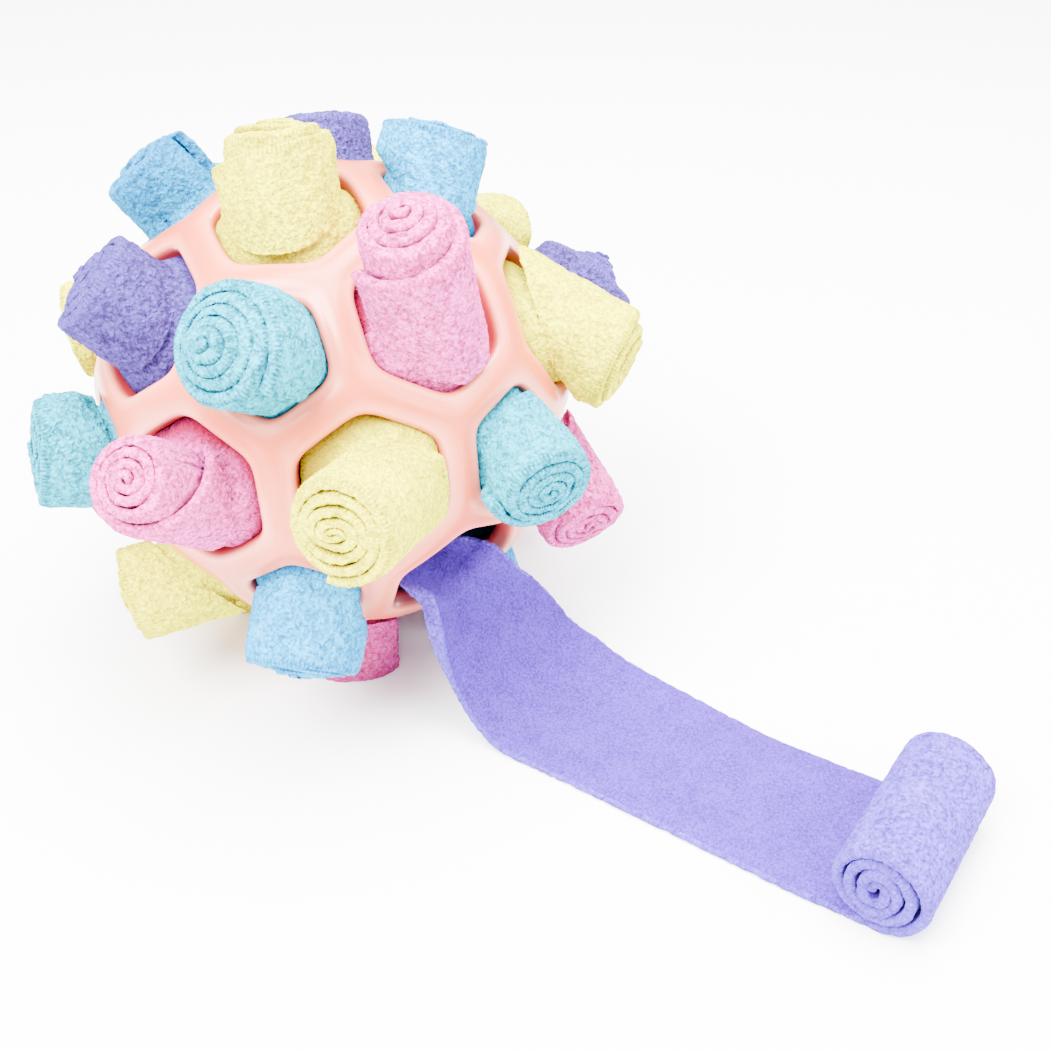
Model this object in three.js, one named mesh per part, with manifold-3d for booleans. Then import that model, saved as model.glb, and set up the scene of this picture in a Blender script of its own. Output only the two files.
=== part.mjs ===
// Dog snuffle ball: a honeycomb ball of soft rubber whose 32 openings hold rolled strips of fleece.
// One strip is pulled out of its opening, drops to the floor and ends in a roll of its own.
// Millimetres, +Z up. The floor is z = 0. The front of the ball faces -Y.
import * as THREE from 'three';
import Module from 'manifold-3d';
import { mergeVertices } from 'three/addons/utils/BufferGeometryUtils.js';

const wasm = await Module();
wasm.setup();

// Rubber cage
const cageRadius = 60;
const cageWall = 6;
const ribWidth = 9.6;
const ribRound = 1.6;
const ribCrown = 0.3;
const cornerRound = 4.5;
const edgeSplit = 0.25;
const ballHeight = 66;
const facing = { azimuth: -98.6, elevation: 37.2, spin: -13 };
const hubAngle = Math.atan(2);

// Fleece rolls
const rollGap = 0.4;
const rollSides = 14;
const innerReach = 43;
const innerShare = 0.62;
const gripRadius = 19;
const seatRise = 0.5;
const bellyRise = 3;
const bellySwell = -0.4;
const waistShare = 0.55;
const waistSwell = 0;
const ribLift = 0.9;
const wrapStep = 1.6;
const wrapLap = 0.16;
const rimRound = 1.3;
const turnWidth = 2.7;
const turnSlope = 0.8;
const turnLift = 0.35;
const leastRim = 7;
const coneMiddle = 0.45;
const coneShoulder = 0.6;
const floorSnap = 0.6;
const floorBlock = 200;

// Loose strip
const stripThickness = 2.4;
const stripHeading = -34;
const looseRollRadius = 12.3;
const looseRollSides = 24;
const looseRollHeight = 11.75;
const looseRollLength = 43;
const looseRollCentre = [134.4, -98.6];
const looseRollStep = 2.35;
const lipTurn = [0.8, 0.6];

const degrees = Math.PI / 180;
const up = new THREE.Vector3(0, 0, 1);

const colours = {
  salmon: 0xf3b7ae,
  aqua: 0x8fe3dd,
  blue: 0xa9d8ee,
  yellow: 0xf6f0a8,
  pink: 0xf4b3d3,
  purple: 0xa99fe0,
};

// One row for each roll. ring and place name its opening.
// seat is its radius in the opening and radius the one at its end.
// reach is its length outside the cage, east and north are its lean in degrees.
// shiftEast and shiftNorth move it sideways in the opening.
// loose is where the outer wrap ends, in degrees round the roll, and wind the sense of the coil.
// drop is how far the outer wrap sits back from the next turn, cone how far the middle stands out.
// slack is how far the outer wrap's corner hangs back, and slackTurn its share of that turn.
const columns = [
  'name', 'colour', 'ring', 'place', 'seat', 'radius', 'reach', 'east', 'north',
  'shiftEast', 'shiftNorth', 'loose', 'wind', 'drop', 'cone', 'slack', 'slackTurn',
];
const table = [
  ['roll_front_aqua', 'aqua', 'front', 0, 12, 14.8, 15.5, -22, -3, 0.4, 0, -40, 1, 2, 4.5, 0.5, 0.3],
  ['roll_upper_right_pink', 'pink', 'inner', 0, 14.8, 12.9, 28, -22, 36, -2.2, -0.8, 180, 1, 3, 2.6, 4, 1.0],
  ['roll_top_yellow', 'yellow', 'inner', 1, 15, 14.2, 15.4, -12, 30, 0, 0, 165, 1, 3, 1.2, 6.5, 0.55],
  ['roll_upper_left_purple', 'purple', 'inner', 2, 15.4, 14.2, 12.8, -20, 11, 0.3, 1.6, 150, 1, 1.2, 2, 1, 0.4],
  ['roll_lower_left_pink', 'pink', 'inner', 3, 15.6, 12.3, 21.4, -1, 36, 0.4, 0.4, 90, -1, 1, 1, 18, 0.62],
  ['roll_lower_yellow', 'yellow', 'inner', 4, 15.2, 13.4, 22.4, -36, 7, 2, 0, 250, 1, 0.6, 1, 1, 0.3],
  ['roll_right_aqua', 'aqua', 'corner', 0, 12, 13.1, 14.9, -25, -21, -0.9, -0.4, 200, 1, 0.8, 1, 1, 0.3],
  ['roll_top_blue', 'blue', 'corner', 1, 12, 13.2, 13, 22, 26, 2.4, 2.4, 20, 1, 0.8, 1, 1, 0.3],
  ['roll_upper_left_blue', 'blue', 'corner', 2, 12, 12.3, 13.6, 10, -1, 0.6, -0.8, 120, 1, 0.8, 1.2, 1, 0.4],
  ['roll_left_aqua', 'aqua', 'corner', 3, 12, 14.8, 15.6, -5, 11, 0, 0, 90, -1, 0.8, 1, 1, 0.3],
  ['roll_bottom_blue', 'blue', 'corner', 4, 12, 14.8, 16, -6, -20, 0.8, 0, 250, 1, 1, 1.5, 1, 0.3],
  ['roll_right_yellow', 'yellow', 'side', 0, 15.4, 14.8, 18.6, -26, -46, -0.8, -3.8, 340, 1, 2.6, 0.8, 1.5, 0.6],
  ['roll_back_top_purple', 'purple', 'side', 1, 15, 13.2, 8, 6, -6, 1.5, 0, 80, 1, 0.5, 1, 1, 0.3],
  ['roll_left_yellow', 'yellow', 'side', 2, 15, 13.4, 10.5, 25, -23, 0.3, -0.5, 200, 1, 0.8, 1, 1, 0.3],
  ['roll_lower_left_yellow', 'yellow', 'side', 3, 15, 12.6, 15.7, -26, 29, -0.4, 0.4, 300, 1, 0.6, 1, 1, 0.3],
  ['roll_right_pink', 'pink', 'outer', 0, 14.6, 12.3, 18.4, -48, -20, -0.6, -0.8, 180, 1, 0.6, 1, 1, 0.3],
  ['roll_back_right_yellow', 'yellow', 'outer', 1, 12, 10, 9, 10, -50, 0, -6, 40, 1, 1, 1, 1, 0.3],
  ['roll_back_left_blue', 'blue', 'outer', 2, 15.4, 13.5, 14, -6, -24, 0, -0.6, 100, 1, 1, 1, 1, 0.3],
  ['roll_left_pink', 'pink', 'outer', 3, 15.6, 13.5, 15, 8, -4, 0, -0.8, 220, -1, 1, 1, 2, 0.4],
  ['roll_foot_pink', 'pink', 'outer', 4, 15, 13.8, 22, -4, -34, 1.5, -0.8, 30, 1, 1, 1, 1, 0.3],
  ['roll_back_right_purple', 'purple', 'rearCorner', 0, 12, 16.5, 22, 11, 40, 1.6, 1.6, 300, 1, 0.8, 6, 0.5, 0.3],
  ['roll_back_yellow', 'yellow', 'rearCorner', 1, 12, 13, 18, 6, -12, 0, 0, 10, 1, 1, 1, 2, 0.4],
  ['roll_back_left_aqua', 'aqua', 'rearCorner', 2, 12, 13, 17, 5, -16, 0, 0, 140, -1, 1, 1, 1, 0.3],
  ['roll_foot_yellow', 'yellow', 'rearCorner', 3, 12, 13, 25.4, -22, -10, 0, 0, 70, 1, 1, 1, 1, 0.3],
  ['roll_foot_blue', 'blue', 'rearCorner', 4, 12, 12.6, 28, 8, -24, 0, 0, 190, 1, 1, 1, 1, 0.3],
  ['roll_back_right_blue', 'blue', 'rear', 0, 15, 13.5, 19, -8, -14, 0, 0, 260, 1, 1, 1, 3, 0.4],
  ['roll_back_pink', 'pink', 'rear', 1, 15, 13.5, 18, 6, -16, 0, 0, 30, -1, 1, 1, 1, 0.3],
  ['roll_lower_back_purple', 'purple', 'rear', 2, 15, 13.5, 20, 8, -10, 0, 0, 100, 1, 1, 1, 2, 0.4],
  ['roll_foot_aqua', 'aqua', 'rear', 3, 15, 13.5, 20, 0, -4, 0, 0, 240, 1, 1, 1, 1, 0.3],
  ['roll_lower_back_pink', 'pink', 'rear', 4, 15, 13.5, 19, -6, -12, 0, 0, 330, 1, 1, 1, 1, 0.3],
  ['roll_lower_back_yellow', 'yellow', 'back', 0, 12, 13, 18, -4, -10, 0, 0, 150, -1, 1, 1, 1, 0.3],
];

// Stations of the loose strip from its inner end to the roll on the floor.
// left, middle and right are points across it and lip is how far the left margin turns over.
const stations = [
  { left: [15.5, -41.6, 40.8], middle: [21.6, -29.2, 37.4], right: [28, -31.5, 42.5], lip: 0 },
  { left: [18.6, -49.5, 40.8], middle: [26.4, -35.2, 34.9], right: [35.5, -33.5, 42.6], lip: 0.6 },
  { left: [23.3, -54.6, 40], middle: [30, -39.2, 32], right: [40.8, -35.2, 41.5], lip: 1 },
  { left: [24.6, -57.6, 34], middle: [32.8, -39.2, 27], right: [46, -32, 33], lip: 1 },
  { left: [25.5, -58, 26], middle: [36.8, -40, 21.6], right: [52, -28.6, 24.5], lip: 0.8 },
  { left: [28, -57.5, 16.5], middle: [41.6, -41.4, 14.6], right: [56.5, -27.6, 17.5], lip: 0.6 },
  { left: [31.5, -58, 9.8], middle: [45.2, -42.8, 8.8], right: [60, -28.4, 13], lip: 0.4 },
  { left: [36.5, -60.4, 4.6], middle: [49.7, -45, 4.6], right: [63.4, -29.6, 10.4], lip: 0.2 },
  { left: [42.6, -63.6, 1.8], middle: [54.8, -47.6, 2], right: [67.6, -31.4, 8.4], lip: 0 },
  { left: [51, -68.8, 1.2], middle: [62.6, -52, 1.2], right: [74.2, -35.6, 5.4], lip: 0 },
  { left: [61.4, -75.4, 1.2], middle: [72.9, -58.6, 1.2], right: [84.4, -41.8, 3], lip: 0 },
  { left: [71.6, -82.2, 1.2], middle: [83.1, -65.2, 1.2], right: [94.6, -48.4, 1.6], lip: 0 },
  { left: [87, -92.4, 1.2], middle: [98, -76, 1.2], right: [108.6, -59.4, 1.2], lip: 0 },
  { left: [104.8, -104.4, 1.2], middle: [115.9, -87.6, 1.2], right: [126.6, -70.6, 1.2], lip: 0 },
  { left: [123.9, -116.2, 1.2], middle: [135.4, -99.2, 1.2], right: [146.9, -82.2, 1.2], lip: 0 },
];
const acrossStrip = [-1, -0.88, -0.66, -0.4, -0.13, 0.13, 0.4, 0.66, 0.88, 1];

function direction(azimuth, elevation) {
  const flat = Math.cos(elevation);
  return new THREE.Vector3(flat * Math.cos(azimuth), flat * Math.sin(azimuth), Math.sin(elevation));
}

function frameOf(normal) {
  const east = new THREE.Vector3().crossVectors(up, normal).normalize();
  const north = new THREE.Vector3().crossVectors(normal, east);
  return { east, north };
}

// The twelve hubs of an icosahedron: front, five near, five far and back.
function makeHubs() {
  const front = direction(facing.azimuth * degrees, facing.elevation * degrees);
  const { east, north } = frameOf(front);
  const around = (polar, turn) =>
    front.clone().multiplyScalar(Math.cos(polar))
      .addScaledVector(east, Math.sin(polar) * Math.cos(turn))
      .addScaledVector(north, Math.sin(polar) * Math.sin(turn));
  const near = [];
  const far = [];
  for (let place = 0; place < 5; place++) {
    const turn = (facing.spin + 72 * place) * degrees;
    near.push(around(hubAngle, turn));
    far.push(around(Math.PI - hubAngle, turn + 36 * degrees));
  }
  return { front, near, far, back: front.clone().negate() };
}

function onEdge(from, to) {
  return from.clone().multiplyScalar(2).add(to).normalize();
}

function sortAround(centre, points) {
  const { east, north } = frameOf(centre);
  const angle = (point) => Math.atan2(point.dot(north), point.dot(east));
  return points.sort((a, b) => angle(a) - angle(b));
}

function makeOpening(ring, place, hubs, neighbours) {
  const centre = new THREE.Vector3();
  hubs.forEach((hub) => centre.add(hub));
  centre.normalize();
  const corners = [];
  if (hubs.length === 1) {
    neighbours.forEach((hub) => corners.push(onEdge(hubs[0], hub)));
  } else {
    hubs.forEach((from) => {
      hubs.filter((to) => to !== from).forEach((to) => corners.push(onEdge(from, to)));
    });
  }
  sortAround(centre, corners);
  return { ring, place, centre, corners };
}

function makeOpenings() {
  const { front, near, far, back } = makeHubs();
  const openings = [makeOpening('front', 0, [front], near)];
  for (let place = 0; place < 5; place++) {
    const next = (place + 1) % 5;
    const last = (place + 4) % 5;
    openings.push(
      makeOpening('inner', place, [front, near[place], near[next]]),
      makeOpening('corner', place, [near[place]], [front, near[next], near[last], far[place], far[last]]),
      makeOpening('side', place, [near[place], near[next], far[place]]),
      makeOpening('outer', place, [near[place], far[last], far[place]]),
      makeOpening('rearCorner', place, [far[place]], [back, far[next], far[last], near[place], near[next]]),
      makeOpening('rear', place, [far[place], far[next], back]),
    );
  }
  openings.push(makeOpening('back', 0, [back], far));
  return openings;
}

// Outward normals of the walls of an opening, one for each side.
function sideNormals(corners) {
  return corners.map((corner, index) => {
    const next = corners[(index + 1) % corners.length];
    return new THREE.Vector3().crossVectors(next, corner).normalize();
  });
}

// Directions of the edge of an opening: the ribs' middle lines moved in by inset, with round corners.
function edgeRing(opening, inset) {
  const normals = sideNormals(opening.corners);
  const count = normals.length;
  const sink = Math.sin(inset / cageRadius);
  const sharp = normals.map((normal, index) => {
    const before = normals[(index + count - 1) % count];
    const share = sink / (1 + before.dot(normal));
    const along = new THREE.Vector3().crossVectors(before, normal).normalize();
    const both = before.clone().add(normal);
    const rest = Math.sqrt(1 - share * share * both.lengthSq());
    return along.multiplyScalar(rest).addScaledVector(both, -share);
  });
  const ring = [];
  sharp.forEach((corner, index) => {
    const before = sharp[(index + count - 1) % count];
    const after = sharp[(index + 1) % count];
    const toward = (other) => {
      const step = cornerRound / cageRadius / corner.angleTo(other);
      return corner.clone().lerp(other, step).normalize();
    };
    const start = toward(before);
    const end = toward(after);
    const middle = corner.clone().multiplyScalar(2).add(start).add(end).normalize();
    ring.push(start, middle, end);
  });
  return ring;
}

// Directions on the ribs' middle lines, matching edgeRing point for point.
function middleRing(opening) {
  const { corners } = opening;
  const count = corners.length;
  const ring = [];
  corners.forEach((corner, index) => {
    const before = corners[(index + count - 1) % count];
    const after = corners[(index + 1) % count];
    ring.push(
      corner.clone().lerp(before, edgeSplit).normalize(),
      corner.clone(),
      corner.clone().lerp(after, edgeSplit).normalize(),
    );
  });
  return ring;
}

function scaled(ring, radius) {
  return ring.map((point) => point.clone().multiplyScalar(radius));
}

// Collects rings of points and the bands of triangles between them.
class Skin {
  constructor() {
    this.points = [];
    this.faces = [];
  }

  ring(points) {
    const start = this.points.length;
    this.points.push(...points);
    return points.map((_, index) => start + index);
  }

  band(lower, upper) {
    for (let index = 0; index < lower.length; index++) {
      const next = (index + 1) % lower.length;
      this.faces.push([lower[index], lower[next], upper[next]]);
      this.faces.push([lower[index], upper[next], upper[index]]);
    }
  }

  cap(ring, centre, facingOut) {
    const [middle] = this.ring([centre]);
    ring.forEach((point, index) => {
      const next = ring[(index + 1) % ring.length];
      this.faces.push(facingOut ? [point, next, middle] : [next, point, middle]);
    });
  }

  geometry() {
    const shape = new THREE.BufferGeometry();
    const flat = this.points.flatMap((point) => point.toArray());
    shape.setAttribute('position', new THREE.Float32BufferAttribute(flat, 3));
    shape.setIndex(this.faces.flat());
    return mergeVertices(shape);
  }
}

function makeCage(openings) {
  const skin = new Skin();
  openings.forEach((opening) => {
    const middle = middleRing(opening);
    const rings = [
      scaled(middle, cageRadius),
      scaled(edgeRing(opening, ribWidth / 2 - ribRound), cageRadius - ribCrown),
      scaled(edgeRing(opening, ribWidth / 2), cageRadius - ribRound),
      scaled(edgeRing(opening, ribWidth / 2), cageRadius - cageWall),
      scaled(middle, cageRadius - cageWall),
    ].map((points) => skin.ring(points));
    for (let index = 1; index < rings.length; index++) {
      skin.band(rings[index - 1], rings[index]);
    }
  });
  return skin.geometry();
}

// Pulls a direction back inside the walls of its opening.
function keepInside(point, centre, walls) {
  let share = 1;
  walls.forEach(({ normal, depth }) => {
    const from = normal.dot(centre) + depth;
    const to = normal.dot(point) + depth;
    if (to > 0) {
      share = Math.min(share, from / (from - to));
    }
  });
  return centre.clone().lerp(point, share);
}

function wallsOf(opening) {
  const edge = edgeRing(opening, ribWidth / 2);
  return edge.map((point, index) => {
    const next = edge[(index + 1) % edge.length];
    const normal = new THREE.Vector3().crossVectors(next, point).normalize();
    return { normal, depth: rollGap / (cageRadius - cageWall) };
  });
}

function liftOffCage(point) {
  const least = cageRadius + ribLift;
  return point.length() < least ? point.setLength(least) : point;
}

// A roll wound of one strip: it narrows inside the cage, fills its opening and ends in a coil.
function makeRoll(row, opening) {
  const { centre } = opening;
  const walls = wallsOf(opening);
  const { east, north } = frameOf(centre);
  const axis = centre.clone()
    .addScaledVector(east, Math.tan(row.east * degrees))
    .addScaledVector(north, Math.tan(row.north * degrees))
    .normalize();
  const side = east.clone().addScaledVector(axis, -east.dot(axis)).normalize();
  const rise = new THREE.Vector3().crossVectors(axis, side);
  const seat = centre.clone().multiplyScalar(cageRadius)
    .addScaledVector(east, row.shiftEast)
    .addScaledVector(north, row.shiftNorth);
  const turns = [];
  for (let index = 0; index <= rollSides; index++) {
    const part = index / rollSides;
    const angle = row.loose * degrees + row.wind * part * (2 * Math.PI - wrapLap);
    turns.push({ part, x: Math.cos(angle), y: Math.sin(angle) });
  }
  const inside = (level, radius) =>
    turns.map(({ x, y }) => {
      const wide = centre.clone()
        .addScaledVector(east, (x * radius + row.shiftEast) / cageRadius)
        .addScaledVector(north, (y * radius + row.shiftNorth) / cageRadius);
      return keepInside(wide, centre, walls).setLength(level);
    });
  const outside = (height, radius) =>
    turns.map(({ part, x, y }) => {
      const wide = radius(part);
      const point = seat.clone().addScaledVector(axis, height(part));
      return liftOffCage(point.addScaledVector(side, x * wide).addScaledVector(rise, y * wide));
    });
  const wrap = (part) => row.radius - wrapStep * part;
  const rim = (part) => {
    const slack = row.slack * Math.max(0, 1 - part / row.slackTurn);
    return Math.max(row.reach - row.drop * (1 - part) - slack, leastRim);
  };
  const peak = row.cone + turnLift * row.drop;
  const belly = (row.seat + row.radius) / 2;
  const rings = [
    inside(innerReach, row.seat * innerShare * cageRadius / innerReach),
    inside(cageRadius - cageWall, row.seat),
    inside(cageRadius - cageWall / 2, gripRadius),
    inside(cageRadius + seatRise, row.seat),
    outside(() => bellyRise, (part) => belly + bellySwell - wrapStep * part),
    outside((part) => waistShare * rim(part), (part) => wrap(part) + waistSwell),
    outside((part) => rim(part) - rimRound, wrap),
    outside(rim, (part) => wrap(part) - rimRound),
    outside(rim, (part) => wrap(part) - turnWidth),
    outside((part) => row.reach + turnLift * row.drop * part, (part) => wrap(part) - turnWidth - turnSlope),
    outside(() => row.reach + coneShoulder * peak, (part) => coneMiddle * wrap(part)),
  ];
  const skin = new Skin();
  const rows = rings.map((points) => skin.ring(row.wind > 0 ? points : points.reverse()));
  for (let index = 1; index < rows.length; index++) {
    skin.band(rows[index - 1], rows[index]);
  }
  skin.cap(rows[0], centre.clone().multiplyScalar(innerReach), false);
  const tip = seat.clone().addScaledVector(axis, row.reach + peak);
  skin.cap(rows[rows.length - 1], tip, true);
  return skin.geometry();
}

function toSolid(geometry) {
  const vertProperties = Float32Array.from(geometry.attributes.position.array);
  const triVerts = Uint32Array.from(geometry.index.array);
  return new wasm.Manifold(new wasm.Mesh({ numProp: 3, vertProperties, triVerts }));
}

function fromSolid(solid) {
  const { numProp, vertProperties, triVerts } = solid.getMesh();
  const shape = new THREE.BufferGeometry();
  const flat = [];
  for (let index = 0; index < vertProperties.length; index += numProp) {
    flat.push(...vertProperties.slice(index, index + 3));
  }
  shape.setAttribute('position', new THREE.Float32BufferAttribute(flat, 3));
  shape.setIndex(Array.from(triVerts));
  return mergeVertices(shape);
}

// Cuts off whatever is below the floor. Points close to the floor are first set on it.
function standOnFloor(geometry) {
  const { position } = geometry.attributes;
  for (let index = 0; index < position.count; index++) {
    if (Math.abs(position.getZ(index) + ballHeight) < floorSnap) {
      position.setZ(index, -ballHeight);
    }
  }
  const block = new THREE.BoxGeometry(floorBlock, floorBlock, floorBlock);
  block.deleteAttribute('normal');
  block.deleteAttribute('uv');
  block.translate(0, 0, -ballHeight - floorBlock / 2);
  return fromSolid(toSolid(geometry).subtract(toSolid(mergeVertices(block))));
}

// Points across the strip's middle surface at one station, from the left margin to the right one.
function acrossStation({ left, middle, right, lip }) {
  const from = new THREE.Vector3(...left);
  const via = new THREE.Vector3(...middle);
  const to = new THREE.Vector3(...right);
  const half = to.clone().sub(from).multiplyScalar(0.5);
  const bow = to.clone().add(from).multiplyScalar(0.5).sub(via);
  const points = acrossStrip.map((share) =>
    via.clone().addScaledVector(half, share).addScaledVector(bow, share * share));
  points.forEach((point) => point.setZ(Math.max(point.z, stripThickness / 2)));
  const turn = half.clone().setLength(lipTurn[0]).add(bow.clone().setLength(lipTurn[1]));
  const length = points[0].distanceTo(points[1]);
  points[0].lerp(points[1].clone().addScaledVector(turn, length), lip);
  return points;
}

// Both faces of a sheet lie half its thickness off the middle surface.
function makeSheet(grid, thickness) {
  const last = grid.length - 1;
  const end = grid[0].length - 1;
  const normalAt = (row, column) => {
    const along = grid[Math.min(row + 1, last)][column].clone().sub(grid[Math.max(row - 1, 0)][column]);
    const across = grid[row][Math.min(column + 1, end)].clone().sub(grid[row][Math.max(column - 1, 0)]);
    return across.cross(along).normalize();
  };
  const skin = new Skin();
  const loops = grid.map((points, row) => {
    const face = (offset) =>
      points.map((point, column) => point.clone().addScaledVector(normalAt(row, column), offset));
    const loop = [...face(thickness / 2), ...face(-thickness / 2).reverse()];
    loop.forEach((point) => point.setZ(Math.max(point.z, 0)));
    return skin.ring(loop);
  });
  for (let row = 1; row < loops.length; row++) {
    skin.band(loops[row - 1], loops[row]);
  }
  return { skin, first: loops[0], final: loops[last] };
}

// Closes the end loop of a sheet with pairs of triangles between its faces.
function closeEnd(skin, loop, facingOut) {
  const back = [...loop].reverse();
  for (let index = 0; index < loop.length / 2 - 1; index++) {
    const next = index + 1;
    const [a, b, c, d] = [loop[index], loop[next], back[next], back[index]];
    skin.faces.push(...(facingOut ? [[a, b, c], [a, c, d]] : [[c, b, a], [d, c, a]]));
  }
}

function makeLooseStrip() {
  const { skin, first, final } = makeSheet(stations.map(acrossStation), stripThickness);
  closeEnd(skin, first, false);
  closeEnd(skin, final, true);
  return skin.geometry();
}

// The strip's outer end, wound up: an outline that tightens by one thickness in a turn.
function makeLooseRoll() {
  const heading = stripHeading * degrees;
  const along = new THREE.Vector3(Math.cos(heading), Math.sin(heading), 0);
  const across = new THREE.Vector3(-Math.sin(heading), Math.cos(heading), 0);
  const outline = [];
  for (let index = 0; index <= looseRollSides; index++) {
    const part = index / looseRollSides;
    const angle = -Math.PI / 2 + 2 * Math.PI * part;
    const radius = looseRollRadius - looseRollStep * part;
    const height = looseRollHeight + radius * Math.sin(angle);
    outline.push([radius * Math.cos(angle), Math.max(height, 0)]);
  }
  const place = (share, x, z) =>
    new THREE.Vector3(...looseRollCentre, z)
      .addScaledVector(along, x)
      .addScaledVector(across, share * looseRollLength / 2);
  const skin = new Skin();
  const far = skin.ring(outline.map(([x, z]) => place(1, x, z)));
  const near = skin.ring(outline.map(([x, z]) => place(-1, x, z)));
  skin.band(far, near);
  skin.cap(far, place(1, 0, looseRollHeight), false);
  skin.cap(near, place(-1, 0, looseRollHeight), true);
  return skin.geometry();
}

function addMesh(parent, name, geometry, colour, roughness) {
  geometry.computeVertexNormals();
  const material = new THREE.MeshStandardMaterial({ color: colour, roughness, metalness: 0 });
  const mesh = new THREE.Mesh(geometry, material);
  mesh.name = name;
  parent.add(mesh);
  return mesh;
}

const group = new THREE.Group();
const ball = new THREE.Group();
ball.position.set(0, 0, ballHeight);
group.add(ball);

const openings = makeOpenings();
addMesh(ball, 'rubber_cage', makeCage(openings), colours.salmon, 0.35);
table.forEach((values) => {
  const row = Object.fromEntries(columns.map((column, index) => [column, values[index]]));
  const opening = openings.find(({ ring, place }) => ring === row.ring && place === row.place);
  const roll = makeRoll(row, opening);
  const shape = row.name.startsWith('roll_foot') ? standOnFloor(roll) : roll;
  addMesh(ball, row.name, shape, colours[row.colour], 0.95);
});
const strip = fromSolid(toSolid(makeLooseStrip()).add(toSolid(makeLooseRoll())));
addMesh(group, 'loose_strip', strip, colours.purple, 0.95);

// The origin is on the floor, in the middle of the whole object's outline from above.
const outline = new THREE.Box3().setFromObject(group);
const middle = outline.getCenter(new THREE.Vector3());
group.position.set(-middle.x, -middle.y, 0);

export default group;
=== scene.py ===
import math

import bpy
import numpy as np
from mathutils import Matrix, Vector


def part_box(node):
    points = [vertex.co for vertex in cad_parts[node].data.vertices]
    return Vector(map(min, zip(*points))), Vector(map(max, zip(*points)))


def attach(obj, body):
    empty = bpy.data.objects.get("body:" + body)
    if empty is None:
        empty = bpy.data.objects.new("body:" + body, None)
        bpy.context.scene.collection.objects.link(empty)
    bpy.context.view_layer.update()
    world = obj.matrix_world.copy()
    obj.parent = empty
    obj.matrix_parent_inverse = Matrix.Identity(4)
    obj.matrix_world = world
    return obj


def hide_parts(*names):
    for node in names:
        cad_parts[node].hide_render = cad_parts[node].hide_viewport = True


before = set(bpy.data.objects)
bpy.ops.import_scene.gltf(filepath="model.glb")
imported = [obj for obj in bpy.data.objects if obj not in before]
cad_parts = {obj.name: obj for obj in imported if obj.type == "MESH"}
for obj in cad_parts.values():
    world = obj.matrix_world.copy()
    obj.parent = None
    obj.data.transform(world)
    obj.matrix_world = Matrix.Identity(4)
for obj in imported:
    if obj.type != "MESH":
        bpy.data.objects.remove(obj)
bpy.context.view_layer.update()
cageLow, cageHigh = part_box("rubber_cage")
ballCentre = np.array((cageLow + cageHigh) / 2)
mm = 0.001
up = np.array([0.0, 0.0, 1.0])
print("frame loaded, ball centre", ballCentre.round(4))


def unit(v):
    v = np.asarray(v, float)
    return v / np.linalg.norm(v, axis=-1, keepdims=True)


def ease(t):
    t = np.clip(t, 0, 1)
    return t * t * (3 - 2 * t)


hashPrimes = (73856093, 19349663, 83492791, 2654435)
hashMix = (2654435761, 2246822519)
fullWord = 0xFFFFFFFF


def latticeNoise(points, size, seed=0):
    # soft random values 0 to 1, one lump per cell of this size
    px, py, pz, ps = hashPrimes
    p = points / size
    cell = np.floor(p).astype(np.int64)
    f = ease(p - cell)
    total = np.zeros(len(points))
    for dx in (0, 1):
        for dy in (0, 1):
            for dz in (0, 1):
                n = ((cell[:, 0] + dx) * px ^ (cell[:, 1] + dy) * py
                     ^ (cell[:, 2] + dz) * pz ^ (seed * ps + 97))
                n = (n * hashMix[0]) & fullWord
                n = ((n ^ (n >> 15)) * hashMix[1]) & fullWord
                n = n ^ (n >> 13)
                w = ((f[:, 0] if dx else 1 - f[:, 0]) * (f[:, 1] if dy else 1 - f[:, 1])
                     * (f[:, 2] if dz else 1 - f[:, 2]))
                total += w * (n / (fullWord + 1.0))
    return total


pile = {
    "warpSize": 1.7,       # how the ridges wander, in curls
    "warp": 1.3,
    "ridge": 1.6,          # how sharp they are, and their middle height
    "ridgeLevel": 0.35,
    "ridgeShare": 0.75,    # height of the ridges, and of the finer ones on top
    "fineShare": 0.8,
    "fineSize": 0.45,
}


def napHeight(points, curl):
    # curly pile: ridges that wander, with finer ones on top, about -1 to 1
    warp = np.stack([latticeNoise(points, curl * pile["warpSize"], s) for s in (1, 2, 3)], 1) - 0.5
    p = points + warp * curl * pile["warp"]
    big = 1 - np.abs(2 * latticeNoise(p, curl, 4) - 1) * pile["ridge"]
    small = latticeNoise(p, curl * pile["fineSize"], 5) - 0.5
    return pile["ridgeShare"] * (big - pile["ridgeLevel"]) + pile["fineShare"] * small


def smoothLine(points, where):
    # a rounded line through the points; where counts in points from the first one
    pts = np.asarray(points, float)
    pts = np.vstack([2 * pts[:1] - pts[1:2], pts, 2 * pts[-1:] - pts[-2:-1]])
    t = np.clip(where, 0, len(pts) - 3 - 1e-9)
    i = t.astype(int)
    f = (t - i).reshape(-1, *([1] * (pts.ndim - 1)))
    a, b, c, d = pts[i], pts[i + 1], pts[i + 2], pts[i + 3]
    return 0.5 * (2 * b + (c - a) * f + (2 * a - 5 * b + 4 * c - d) * f ** 2
                  + (3 * b - a - 3 * c + d) * f ** 3)


def gridNormals(grid):
    # outward directions on a grid of points [along, across]
    du = np.gradient(grid, axis=0)
    dv = np.gradient(grid, axis=1)
    n = np.cross(du, dv)
    return n / np.maximum(np.linalg.norm(n, axis=2, keepdims=True), 1e-9)


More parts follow.
